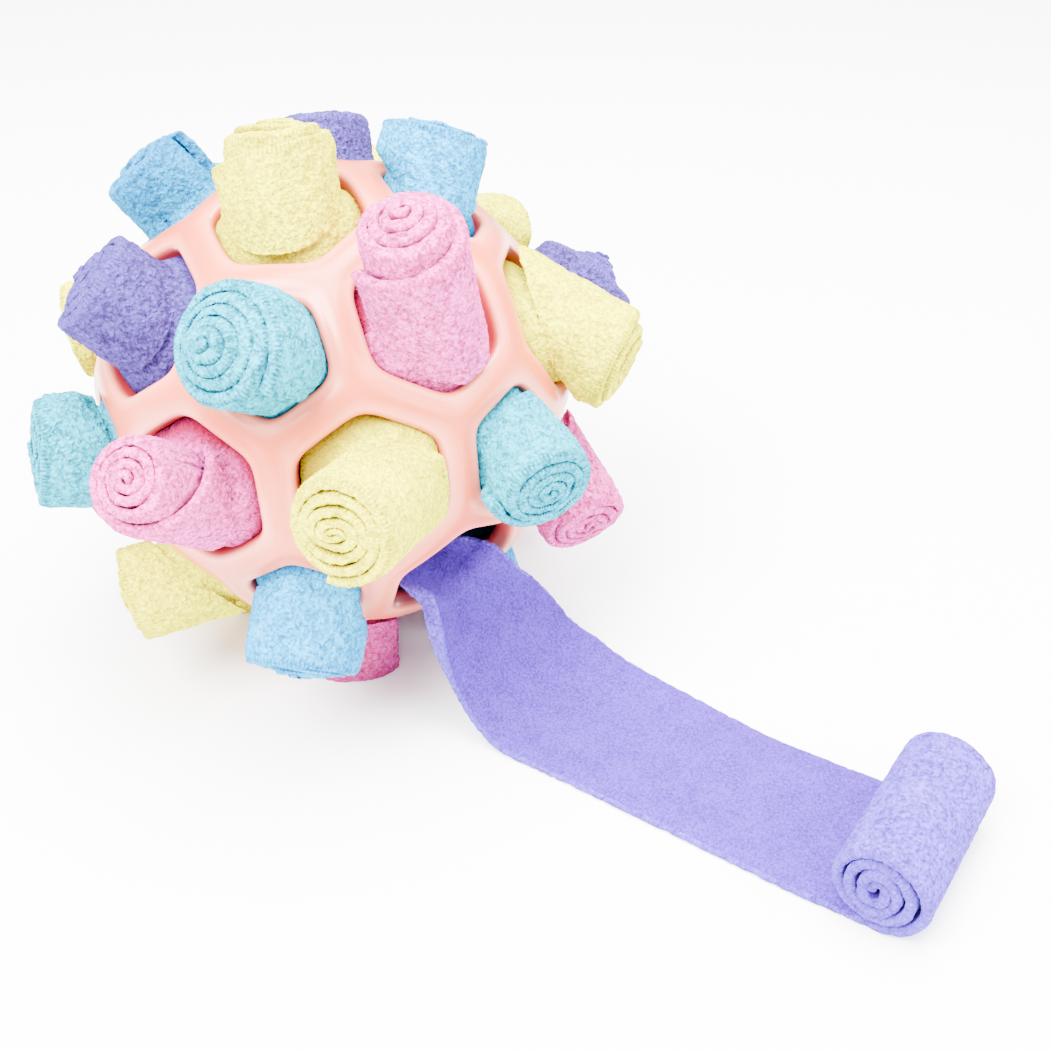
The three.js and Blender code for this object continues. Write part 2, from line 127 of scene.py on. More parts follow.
def makePiece(name, points, quads, materials, nodes, uv=None, marks=None, faceSlots=None):
    # points in millimetres; only the points that faces use are kept
    quads = np.asarray(quads)
    used, packed = np.unique(quads, return_inverse=True)
    quads = packed.reshape(quads.shape)
    mesh = bpy.data.meshes.new(name)
    mesh.from_pydata((points[used] * mm).tolist(), [], quads.tolist())
    mesh.polygons.foreach_set("use_smooth", np.ones(len(quads), bool))
    if uv is not None:
        layer = mesh.uv_layers.new(name="cloth")
        corner = np.zeros(len(mesh.loops), np.int32)
        mesh.loops.foreach_get("vertex_index", corner)
        layer.data.foreach_set("uv", (uv[used][corner] * mm).astype(np.float32).ravel())
    for key, values in (marks or {}).items():
        mark = mesh.attributes.new(key, "FLOAT", "POINT")
        mark.data.foreach_set("value", values[used].astype(np.float32))
    for material in materials:
        mesh.materials.append(material)
    if faceSlots is not None:
        mesh.polygons.foreach_set("material_index", np.asarray(faceSlots, np.int32))
    mesh.update()
    piece = bpy.data.objects.new(name, mesh)
    bpy.context.scene.collection.objects.link(piece)
    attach(piece, "root")
    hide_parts(*nodes)
    return piece


def gridQuads(index, closed=False):
    # index is a 2-D array of point numbers; closed joins the last column to the first
    if closed:
        index = np.hstack([index, index[:, :1]])
    a, b = index[:-1, :-1], index[1:, :-1]
    c, d = index[1:, 1:], index[:-1, 1:]
    return np.stack([a, b, c, d], -1).reshape(-1, 4)


def newMaterial(name):
    material = bpy.data.materials.new(name)
    material.use_nodes = True
    tree = material.node_tree
    tree.nodes.clear()
    out = tree.nodes.new("ShaderNodeOutputMaterial")
    shader = tree.nodes.new("ShaderNodeBsdfPrincipled")
    tree.links.new(shader.outputs["BSDF"], out.inputs["Surface"])
    return material, tree, shader


def setInputs(node, values):
    for key, value in values.items():
        node.inputs[key].default_value = value


def markNode(tree, name):
    # one of the values that the meshes carry at their points
    node = tree.nodes.new("ShaderNodeAttribute")
    node.attribute_name = name
    return node.outputs["Fac"]


def addBump(tree, shader, height, strength, depth):
    bump = tree.nodes.new("ShaderNodeBump")
    setInputs(bump, {"Strength": strength, "Distance": depth})
    tree.links.new(height, bump.inputs["Height"])
    tree.links.new(bump.outputs[0], shader.inputs["Normal"])


def mixColour(tree, factor, a, b):
    mix = tree.nodes.new("ShaderNodeMix")
    mix.data_type = "RGBA"
    for socket, value in ((mix.inputs[0], factor), (mix.inputs[6], a), (mix.inputs[7], b)):
        if isinstance(value, bpy.types.NodeSocket):
            tree.links.new(value, socket)
        else:
            socket.default_value = value if isinstance(value, float) else (*value, 1)
    return mix.outputs[2]


def doMath(tree, operation, a, b, clamp=False):
    node = tree.nodes.new("ShaderNodeMath")
    node.operation = operation
    node.use_clamp = clamp
    for socket, value in ((node.inputs[0], a), (node.inputs[1], b)):
        if isinstance(value, bpy.types.NodeSocket):
            tree.links.new(value, socket)
        else:
            socket.default_value = value
    return node.outputs[0]


def noiseNode(tree, coords, scale, detail=2.0, rough=0.5, twist=0.0):
    node = tree.nodes.new("ShaderNodeTexNoise")
    setInputs(node, {"Scale": scale, "Detail": detail, "Roughness": rough, "Distortion": twist})
    tree.links.new(coords, node.inputs["Vector"])
    return node.outputs[0]


def lumpNode(tree, coords, size, look):
    # rounded tufts of this size with thin gaps between them; 1 at a tuft's middle
    warp = look["tuftBend"] * size
    swirl = tree.nodes.new("ShaderNodeTexNoise")
    setInputs(swirl, {"Scale": look["tuftSwirl"] / size, "Detail": 1.0})
    tree.links.new(coords, swirl.inputs["Vector"])
    bend = tree.nodes.new("ShaderNodeVectorMath")
    bend.operation = "MULTIPLY_ADD"
    bend.inputs[1].default_value = (warp, warp, warp)
    tree.links.new(swirl.outputs[1], bend.inputs[0])
    tree.links.new(coords, bend.inputs[2])
    cells = tree.nodes.new("ShaderNodeTexVoronoi")
    cells.inputs["Scale"].default_value = 1 / size
    tree.links.new(bend.outputs[0], cells.inputs["Vector"])
    return rampNode(tree, cells.outputs["Distance"], *look["tuftEdge"])


def rampNode(tree, value, low, high):
    node = tree.nodes.new("ShaderNodeMapRange")
    node.interpolation_type = "SMOOTHSTEP"
    setInputs(node, {"From Min": low, "From Max": high})
    tree.links.new(value, node.inputs["Value"])
    return node.outputs[0]


# colours of the pile's tips; of its body, painted shade down in the pile between tufts and curls; of the
# tufts at a cut edge, painted light and shade of those tufts; and the deep colour, painted shade between the
# turns, deep in the cage and on rolls in shade
fleeceColumns = ("tip", "body", "edge", "deep")
fleeceTable = {
    "aqua": ((0.0, 0.50, 0.68), (0.0, 0.05, 0.07), (0.0, 0.035, 0.055), (0.0, 0.05, 0.08)),
    "blue": ((0.002, 0.46, 0.92), (0.0, 0.055, 0.14), (0.0, 0.05, 0.15), (0.0, 0.045, 0.14)),
    "yellow": ((1.0, 1.0, 0.0), (0.30, 0.25, 0.0), (0.26, 0.20, 0.0), (0.26, 0.18, 0.0)),
    "pink": ((1.0, 0.13, 0.58), (0.13, 0.004, 0.026), (0.42, 0.022, 0.13), (0.20, 0.002, 0.03)),
    "purple": ((0.09, 0.065, 0.33), (0.013, 0.005, 0.028), (0.08, 0.06, 0.30), (0.012, 0.004, 0.035)),
    "lavender": ((0.15, 0.085, 0.66), (0.022, 0.007, 0.10), (0.07, 0.04, 0.34), (0.012, 0.004, 0.06)),
}
fleeceLooks = {key: dict(zip(fleeceColumns, colours)) for key, colours in fleeceTable.items()}
# the strip's upper side is brushed less than its outside
smoothSideColours = ((0.088, 0.032, 0.40), (0.028, 0.010, 0.125), (0.10, 0.06, 0.42), (0.013, 0.004, 0.056))
smoothSideLook = dict(zip(fleeceColumns, smoothSideColours))
napLook = {
    "tuft": 0.00105,       # width of a tuft
    "tuftBend": 1.3,       # how far the tufts are out of true, in tufts
    "tuftSwirl": 0.45,     # and how often the way changes
    "curl": 820.0,         # curls, grain and worn patches to a metre
    "fine": 2200.0,
    "patch": 160.0,
    "tuftEdge": (0.78, 0.16),      # noise values at which each of them starts and is full
    "curlEdge": (0.38, 0.62),
    "fineEdge": (0.3, 0.7),
    "patchEdge": (0.32, 0.68),
    "tickEdge": (-0.3, 0.6),
    "tuftShare": 0.3,      # how much each of them adds to the pale tips; the rest is the body colour, painted shade in the pile
    "curlShare": 0.36,
    "fineShare": 0.2,
    "patchShare": 0.16,
    "tick": 0.00095,       # from one tuft to the next along a cut edge
    "tickWander": 0.0006,
    "tickShare": 0.8,
    "shade": 0.1,          # painted shade: what is left of the deep colour down in an opening
    "bump": 1.0,
    "bumpDepth": 0.0009,
    "bumpTuft": 0.3,       # height of each against the curls
    "bumpFine": 0.4,
    "bumpTick": 0.25,
    "smoothTuft": 0.55,    # the smooth side against the brushed one
    "smoothCurl": 1.9,
    "smoothBump": 0.5,
    "roughness": 0.95,
    "specular": 0.03,
    "sheen": 0.3,
    "sheenRoughness": 0.35,
}


def makeFleece(name, look, smoothSide=False):
    material, tree, shader = newMaterial(name)
    place = tree.nodes.new("ShaderNodeTexCoord").outputs["Object"]
    nap = napLook
    size = nap["tuft"] * (nap["smoothTuft"] if smoothSide else 1.0)
    curlScale = nap["curl"] * (nap["smoothCurl"] if smoothSide else 1.0)
    lumps = lumpNode(tree, place, size, nap)
    curls = noiseNode(tree, place, curlScale, detail=2.0, rough=0.55, twist=0.8)
    fine = noiseNode(tree, place, nap["fine"], detail=2.0, rough=0.6, twist=0.6)
    patch = noiseNode(tree, place, nap["patch"], detail=3.0, rough=0.6)
    curled = rampNode(tree, curls, *nap["curlEdge"])
    grain = rampNode(tree, fine, *nap["fineEdge"])
    worn = rampNode(tree, patch, *nap["patchEdge"])
    # painted shade: the body colour shows down between the tufts and curls, the tips' colour on top of them
    tips = doMath(tree, "MULTIPLY", lumps, nap["tuftShare"])
    for part, share in ((curled, nap["curlShare"]), (grain, nap["fineShare"]), (worn, nap["patchShare"])):
        tips = doMath(tree, "ADD", tips, doMath(tree, "MULTIPLY", part, share), True)
    colour = mixColour(tree, tips, look["body"], look["tip"])
    # tufts stand across the cut edge; the dashes of the edge colour there are painted light and shade of
    # those tufts
    along = tree.nodes.new("ShaderNodeUVMap")
    along.uv_map = "cloth"
    split = tree.nodes.new("ShaderNodeSeparateXYZ")
    tree.links.new(along.outputs[0], split.inputs[0])
    wander = doMath(tree, "MULTIPLY", curls, nap["tickWander"])
    way = doMath(tree, "ADD", split.outputs[0], wander)
    turned = doMath(tree, "MULTIPLY", way, 2 * math.pi / nap["tick"])
    wave = doMath(tree, "SINE", turned, 0.0)
    ticks = rampNode(tree, wave, *nap["tickEdge"])
    ticks = doMath(tree, "MULTIPLY", ticks, nap["tickShare"])
    ticks = doMath(tree, "ADD", ticks, 1 - nap["tickShare"])
    ticks = doMath(tree, "MULTIPLY", ticks, markNode(tree, "rim"), True)
    colour = mixColour(tree, ticks, colour, look["edge"])
    # painted shade: deeper colour down between the turns, under a covering turn, deep in the cage and on
    # rolls that lie in shade
    paintedShade = markNode(tree, "paintedShade")
    down = doMath(tree, "MINIMUM", paintedShade, 1.0)
    colour = mixColour(tree, down, colour, look["deep"])
    # beyond 1 the cloth is down in its opening, out of the light: painted shade, darker still
    inner = doMath(tree, "SUBTRACT", paintedShade, 1.0, True)
    colour = mixColour(tree, inner, colour, tuple(nap["shade"] * c for c in look["deep"]))
    tree.links.new(colour, shader.inputs["Base Color"])
    height = curls
    for part, share in ((lumps, nap["bumpTuft"]), (fine, nap["bumpFine"]), (ticks, -nap["bumpTick"])):
        height = doMath(tree, "ADD", height, doMath(tree, "MULTIPLY", part, share))
    addBump(tree, shader, height, nap["bump"] * (nap["smoothBump"] if smoothSide else 1.0), nap["bumpDepth"])
    setInputs(shader, {
        "Roughness": nap["roughness"],
        "Specular IOR Level": nap["specular"],
        "Sheen Weight": nap["sheen"],
        "Sheen Roughness": nap["sheenRoughness"],
        "Sheen Tint": (*look["tip"], 1),
    })
    return material


rubberLook = {
    "colour": (0.50, 0.072, 0.016),
    "pale": (0.60, 0.105, 0.05),      # clouds in the rubber
    "paintedHighlight": (0.80, 0.22, 0.15),      # painted highlight along the ribs' edges
    "wall": (0.33, 0.016, 0.022),     # painted shade inside the openings
    "cloud": 28.0,                    # clouds and grain to a metre
    "grain": 900.0,
    "cloudEdge": (0.3, 0.7),          # noise values at which a cloud starts and is full
    "roughness": 0.22,
    "roughnessSpread": 0.16,
    "bump": 0.05,
    "bumpDepth": 0.0003,
    "specular": 0.5,
    "coat": 0.15,
    "coatRoughness": 0.2,
}


def makeRubber(look):
    material, tree, shader = newMaterial("salmonRubber")
    place = tree.nodes.new("ShaderNodeTexCoord").outputs["Object"]
    cloud = noiseNode(tree, place, look["cloud"], detail=3.0, rough=0.5)
    grain = noiseNode(tree, place, look["grain"], detail=2.0, rough=0.5)
    clouded = rampNode(tree, cloud, *look["cloudEdge"])
    colour = mixColour(tree, clouded, look["colour"], look["pale"])
    # painted highlight along the ribs' edges, painted shade inside the openings
    for key in ("paintedHighlight", "wall"):
        colour = mixColour(tree, markNode(tree, key), colour, look[key])
    tree.links.new(colour, shader.inputs["Base Color"])
    rough = doMath(tree, "MULTIPLY_ADD", cloud, look["roughnessSpread"])
    rough.node.inputs[2].default_value = look["roughness"]
    tree.links.new(rough, shader.inputs["Roughness"])
    addBump(tree, shader, grain, look["bump"], look["bumpDepth"])
    setInputs(shader, {
        "Specular IOR Level": look["specular"],
        "Coat Weight": look["coat"],
        "Coat Roughness": look["coatRoughness"],
    })
    return material


rubber = makeRubber(rubberLook)
fleece = {key: makeFleece(key + "Fleece", look) for key, look in fleeceLooks.items()}
smoothFleece = makeFleece("lavenderSmoothSide", smoothSideLook, True)
print("materials made")


cageShape = {
    "radius": 60.0,
    "wall": 6.0,
    "rib": 9.6,
    "edge": 1.7,           # rounding of the ribs' outer edges
    "crown": 0.7,          # how much a rib's face falls towards them
    "cornerPower": {5: 8.0, 6: 12.0},              # higher makes an opening's corners tighter
    "faceSteps": (0, 0.2, 0.42, 0.64, 0.84, 1),    # points across half a rib's face
    "edgeSteps": (18, 36, 54, 72, 90),             # degrees round its edge
    "wallSteps": (2.9, 4.0, 5.2),                  # depths down the opening's wall
    "innerEdge": (0.3, 0.9),                       # how much the rib narrows at its inner edge
    "innerRise": 0.2,
    "paintedHighlight": 0.7,          # painted highlight round the edge up to this angle, and beyond it
    "highlightAngle": 60,
    "highlightLow": 0.1,
    "wallShade": 0.75,      # painted shade at the edge's foot; down the opening's wall it is full
    "sideSteps": 16,       # points along each side of an opening
    "weld": 0.02,          # points this close become one
    "azimuth": -98.6,      # where the front opening faces, and how it is turned
    "elevation": 37.2,
    "spin": -13.0,
}


def direction(azimuth, elevation):
    a, e = math.radians(azimuth), math.radians(elevation)
    return np.array([math.cos(e) * math.cos(a), math.cos(e) * math.sin(a), math.sin(e)])


def eastNorth(normal):
    east = unit(np.cross(up, normal))
    return east, np.cross(normal, east)


def makeOpenings(shape):
    front = direction(shape["azimuth"], shape["elevation"])
    east, north = eastNorth(front)

    def around(polar, turn):
        t = math.radians(turn)
        return (front * math.cos(polar) + east * math.sin(polar) * math.cos(t)
                + north * math.sin(polar) * math.sin(t))

    hub = math.atan(2)
    near = [around(hub, shape["spin"] + 72 * k) for k in range(5)]
    far = [around(math.pi - hub, shape["spin"] + 72 * k + 36) for k in range(5)]
    back = -front
    found = {}

    def add(ring, place, hubs, neighbours=()):
        centre = unit(sum(hubs))
        if len(hubs) == 1:
            corners = [unit(2 * hubs[0] + other) for other in neighbours]
        else:
            corners = [unit(2 * a + b) for a in hubs for b in hubs if a is not b]
        e, n = eastNorth(centre)
        corners.sort(key=lambda p: math.atan2(p @ n, p @ e))
        found[ring, place] = (centre, np.array(corners))

    add("front", 0, [front], near)
    add("back", 0, [back], far)
    for k in range(5):
        nxt, last = (k + 1) % 5, (k + 4) % 5
        add("inner", k, [front, near[k], near[nxt]])
        add("corner", k, [near[k]], [front, near[nxt], near[last], far[k], far[last]])
        add("side", k, [near[k], near[nxt], far[k]])
        add("outer", k, [near[k], far[last], far[k]])
        add("rearCorner", k, [far[k]], [back, far[nxt], far[last], near[k], near[nxt]])
        add("rear", k, [far[k], far[nxt], back])
    return found


openings = makeOpenings(cageShape)


def sideNormals(corners):
    return unit(np.cross(np.roll(corners, -1, 0), corners))


def edgeAngle(centre, corners, spokes, inset):
    # how far from the opening's middle its rounded edge lies, in the direction of each spoke
    normals = sideNormals(corners)
    sink = math.sin(inset / cageShape["radius"])
    depth = -normals @ centre
    facing = spokes @ normals.T
    size = np.hypot(facing, depth)
    angle = np.arctan2(depth, facing) - np.arcsin(sink / size)
    power = cageShape["cornerPower"][len(corners)]
    share = np.where(facing > 1e-3, (1 / np.maximum(angle, 1e-3)) ** power, 0)
    return share.sum(1) ** (-1 / power)


def makeCage(shape):
    points, quads, paintedHighlights, wallShades = [], [], [], []
    total = 0
    half = shape["rib"] / 2
    for centre, corners in openings.values():
        t = np.linspace(0, 1, shape["sideSteps"], endpoint=False)[:, None]
        middle = np.vstack([unit(a * (1 - t) + b * t) for a, b in zip(corners, np.roll(corners, -1, 0))])
        middleAngle = np.arccos(middle @ centre)
        spokes = unit(middle - centre * np.cos(middleAngle)[:, None])
        r, edge = shape["radius"], shape["edge"]
        rows = []   # share of the way from the rib's middle, inset, radius, painted highlight, painted shade
        for s in shape["faceSteps"]:
            rows.append((s, half - edge, r - shape["crown"] * s * s, max(0, s - 0.5), 0))
        for a in shape["edgeSteps"]:
            c, d = math.cos(math.radians(a)), math.sin(math.radians(a))
            # painted highlight on the edge's upper part, painted shade growing towards its foot
            paintedHighlight = shape["paintedHighlight"] if a < shape["highlightAngle"] else shape["highlightLow"]
            wall = (a / 90) ** 2 * shape["wallShade"]
            rows.append((1, half - edge + edge * d, r - shape["crown"] - edge * (1 - c), paintedHighlight, wall))
        for depth in shape["wallSteps"]:
            rows.append((1, half, r - depth, 0, 1))
        inside = r - shape["wall"]
        upper, lower = shape["innerEdge"]
        rows.append((1, half - upper, inside + shape["innerRise"], 0, 1))
        for share in (1, 0.5, 0):
            rows.append((share, half - lower, inside, 0, 1))
        paintedHighlights.append(np.repeat([row[3] for row in rows], len(middle)))
        wallShades.append(np.repeat([row[4] for row in rows], len(middle)))
        rings = []
        for share, inset, radius, _, _ in rows:
            edgeAt = edgeAngle(centre, corners, spokes, inset)
            angle = middleAngle + (edgeAt - middleAngle) * share
            way = centre * np.cos(angle)[:, None] + spokes * np.sin(angle)[:, None]
            rings.append(way * radius)
        count = len(middle)
        index = total + np.arange(len(rings) * count).reshape(len(rings), count)
        points.append(np.vstack(rings))
        quads.append(gridQuads(index, closed=True))
        total += len(rings) * count
    points = np.vstack(points)
    quads = np.vstack(quads)
    # neighbouring openings share the points on the middle of a rib
    key = np.round(points / shape["weld"]).astype(np.int64)
    _, first, same = np.unique(key, axis=0, return_index=True, return_inverse=True)
    quads = first[same.ravel()][quads]
    # painted highlight on the ribs' edges and painted shade down the openings' walls
    marks = {"paintedHighlight": np.concatenate(paintedHighlights), "wall": np.concatenate(wallShades)}
    return makePiece("cageRubber", points + ballCentre / mm, quads, [rubber],
                     ["rubber_cage"], marks=marks)


cage = makeCage(cageShape)
print("cage made,", len(cage.data.polygons), "faces")


rollShape = {
    "turn": 2.6,           # from one turn to the next
    "cloth": 2.44,
    "core": 1.1,           # radius that the winding starts from
    "overlap": 1.05,       # turns of the outer wrap that show their whole face
    "turnLift": 0.35,      # share of the drop that the next turn adds
    "round": 0.46,         # rounding of the cut edge
    "roundOuter": 0.9,     # the same on the outer wrap's outside
    "seenStep": 0.62,      # spacing of the points
    "hiddenStep": 0.8,
    "curl": 1.35,          # width and height of the pile's curls
    "nap": 0.5,
    "sway": 0.8,           # how far the wraps are out of true, and over what length
    "swaySize": 7.0,
    "ripple": 0.8,         # how far the cut edge is out of true
    "dome": 0.07,          # how much the end draws in, from this far below it and over this length
    "domeFrom": 7,
    "domeOver": 10,
    "endLift": 0.35,       # how far the loose end stands off
    "slackCurve": 1.7,     # how hollow the line of the hanging corner is
    "flare": 0.1,          # how far that corner turns outward, against how far it hangs back
    "flareMost": 1.0,
    "slope": 0.85,         # how much of the step up to the next turn the cut edge takes up
    "slopeMost": 1.8,
    "innerEnd": 45.0,      # where the roll ends in the cage, from the ball's middle
    "innerHold": 47.0,
    "innerFill": 7.0,      # how much wider it is at the wall's inner side and half way, to fill the opening
    "middleFill": 2.5,
    "wallGaps": (0.8, 0.03, 0.05, 0.5, 0.6),       # gaps to the opening's walls, from the inner end out
    "clear": 0.5,          # how far outside the ribs the roll leaves the cage
    "leastOut": 2.0,       # how far its cut edge stands out there at least
    "faceDepth": 4.0,      # depth of the outer wrap's fine rows, and where they start at least
    "faceStart": 0.7,
    "turnDepth": 3.6,      # depth of the turns inside, and how far the turn outside covers them
    "turnCover": 3.0,
    # radius over the rib, at the belly, at the waist and at the end:
    # what is added to the table's radius, and what each turn takes off
    "neck": (-0.1, 1.6),
    "belly": (-0.3, 2.0),
    "waist": (-0.1, 2.2),
    "end": (0.2, 2.6),
    "bodySteps": (2, 3, 4, 5, 5),          # points between the rows that shape it, inside the cage
    "faceRows": 8,                         # and on the outer face under the cut edge
    "grooveSteps": (0.5, 1.1, 2.0, 3.4),   # depths in the groove between two turns
}
seenRings = ("front", "inner", "corner", "side")

# one row for each roll, named by place and colour; lengths in millimetres and angles in degrees
# seat, radius: in the opening and outside; reach: how far it stands out of the opening
# east, north: lean; shiftEast, shiftNorth: how far its seat is off the opening's middle
# loose: where the outer wrap ends; wind: 1 or -1, the way it is wound
# drop: how much lower the loose end stands; cone: how much further out the middle stands
# slack, slackTurn: how far the outer wrap's corner hangs back, and over what part of a turn
# squeeze: how oval the middle is
rollColumns = (
    "name", "ring", "place", "seat", "radius", "reach", "east", "north", "shiftEast", "shiftNorth",
    "loose", "wind", "drop", "cone", "slack", "slackTurn", "squeeze",
)
rollTable = [
    ("front_aqua", "front", 0, 12, 14.8, 15.5, -22, -3, 0.4, 0, -40, 1, 2, 4.5, 0.5, 0.3, 0.1),
    ("upper_right_pink", "inner", 0, 14.8, 12.9, 28, -22, 36, -2.2, -0.8, 166, 1, 3, 2.6, 4, 1.0, 0.1),
    ("top_yellow", "inner", 1, 15, 14.2, 15.4, -12, 30, 0, 0, 165, 1, 3, 1.2, 6.5, 0.55, 0.1),
    ("upper_left_purple", "inner", 2, 15.4, 14.2, 12.8, -20, 11, 0.3, 1.6, 150, 1, 1.2, 2, 1, 0.4, 0.1),
    ("lower_left_pink", "inner", 3, 15.6, 12.3, 21.4, -1, 36, 0.4, 0.4, 62, -1, 1, 1, 13.5, 0.62, 0.1),
    ("lower_yellow", "inner", 4, 15.2, 13.4, 22.4, -36, 7, 2, 0, 250, 1, 0.6, 1, 1, 0.3, 0.3),
    ("right_aqua", "corner", 0, 12, 13.1, 14.9, -25, -21, -0.9, -0.4, 200, 1, 0.8, 1, 1, 0.3, 0.1),
    ("top_blue", "corner", 1, 12, 13.8, 13, 22, 12, 2.4, 3.2, 20, 1, 0.8, 1, 1, 0.3, 0.1),
    ("upper_left_blue", "corner", 2, 12, 12.3, 13.6, 10, -1, 0.6, -0.8, 120, 1, 0.8, 1.2, 1, 0.4, 0.1),
    ("left_aqua", "corner", 3, 12, 14.8, 15.6, -5, 11, 0, 0, 90, -1, 0.8, 1, 1, 0.3, 0.1),
    ("bottom_blue", "corner", 4, 12, 14.8, 16, -6, -20, 0.8, 0, 250, 1, 1, 1.5, 1, 0.3, 0.1),
    ("right_yellow", "side", 0, 15.4, 14.6, 18.2, -26, -46, -0.8, -5.8, 296, 1, 2.6, 0.8, 2.5, 0.6, 0.1),
    ("back_top_purple", "side", 1, 15, 13.2, 8, 6, -6, 1.5, 0, 80, 1, 0.5, 1, 1, 0.3, 0.1),
    ("left_yellow", "side", 2, 15, 13.4, 10.5, 25, -23, 0.3, -0.5, 200, 1, 0.8, 1, 1, 0.3, 0.1),
    ("lower_left_yellow", "side", 3, 15, 12.6, 15.7, -26, 29, -0.4, 0.4, 300, 1, 0.6, 1, 1, 0.3, 0.1),
    ("right_pink", "outer", 0, 14.6, 12.3, 18.4, -48, -20, -0.6, -0.8, 180, 1, 0.6, 1, 1, 0.3, 0.3),
    ("back_right_yellow", "outer", 1, 12, 10, 9, 10, -50, 0, -6, 40, 1, 1, 1, 1, 0.3, 0.1),
    ("back_left_blue", "outer", 2, 15.4, 13.5, 14, -6, -24, 0, -0.6, 100, 1, 1, 1, 1, 0.3, 0.1),
    ("left_pink", "outer", 3, 15.6, 13.5, 15, 8, -4, 0, -0.8, 220, -1, 1, 1, 2, 0.4, 0.1),
    ("foot_pink", "outer", 4, 15, 13.8, 22, -4, -34, 1.5, -0.8, 30, 1, 1, 1, 1, 0.3, 0.1),
    ("back_right_purple", "rearCorner", 0, 12, 16.5, 22, 11, 40, 1.6, 1.6, 300, 1, 0.8, 6, 0.5, 0.3, 0.1),
    ("back_yellow", "rearCorner", 1, 12, 13, 18, 6, -12, 0, 0, 10, 1, 1, 1, 2, 0.4, 0.1),
    ("back_left_aqua", "rearCorner", 2, 12, 13, 17, 5, -16, 0, 0, 140, -1, 1, 1, 1, 0.3, 0.1),
    ("foot_yellow", "rearCorner", 3, 12, 13, 25.4, -22, -10, 0, 0, 70, 1, 1, 1, 1, 0.3, 0.1),
    ("foot_blue", "rearCorner", 4, 12, 12.6, 28, 8, -24, 0, 0, 190, 1, 1, 1, 1, 0.3, 0.1),
    ("back_right_blue", "rear", 0, 15, 13.5, 19, -8, -14, 0, 0, 260, 1, 1, 1, 3, 0.4, 0.1),
    ("back_pink", "rear", 1, 15, 13.5, 18, 6, -16, 0, 0, 30, -1, 1, 1, 1, 0.3, 0.1),
    ("lower_back_purple", "rear", 2, 15, 13.5, 20, 8, -10, 0, 0, 100, 1, 1, 1, 2, 0.4, 0.1),
    ("foot_aqua", "rear", 3, 15, 13.5, 20, 0, -4, 0, 0, 240, 1, 1, 1, 1, 0.3, 0.1),
    ("lower_back_pink", "rear", 4, 15, 13.5, 19, -6, -12, 0, 0, 330, 1, 1, 1, 1, 0.3, 0.1),
    ("lower_back_yellow", "back", 0, 12, 13, 18, -4, -10, 0, 0, 150, -1, 1, 1, 1, 0.3, 0.1),
]

# painted shade: rolls that lie in shade get at least this share of the deep colour all over
rollPaintedShade = {"upper_left_blue": 0.45, "foot_pink": 0.5, "upper_left_purple": 0.1, "lower_left_yellow": 0.1}


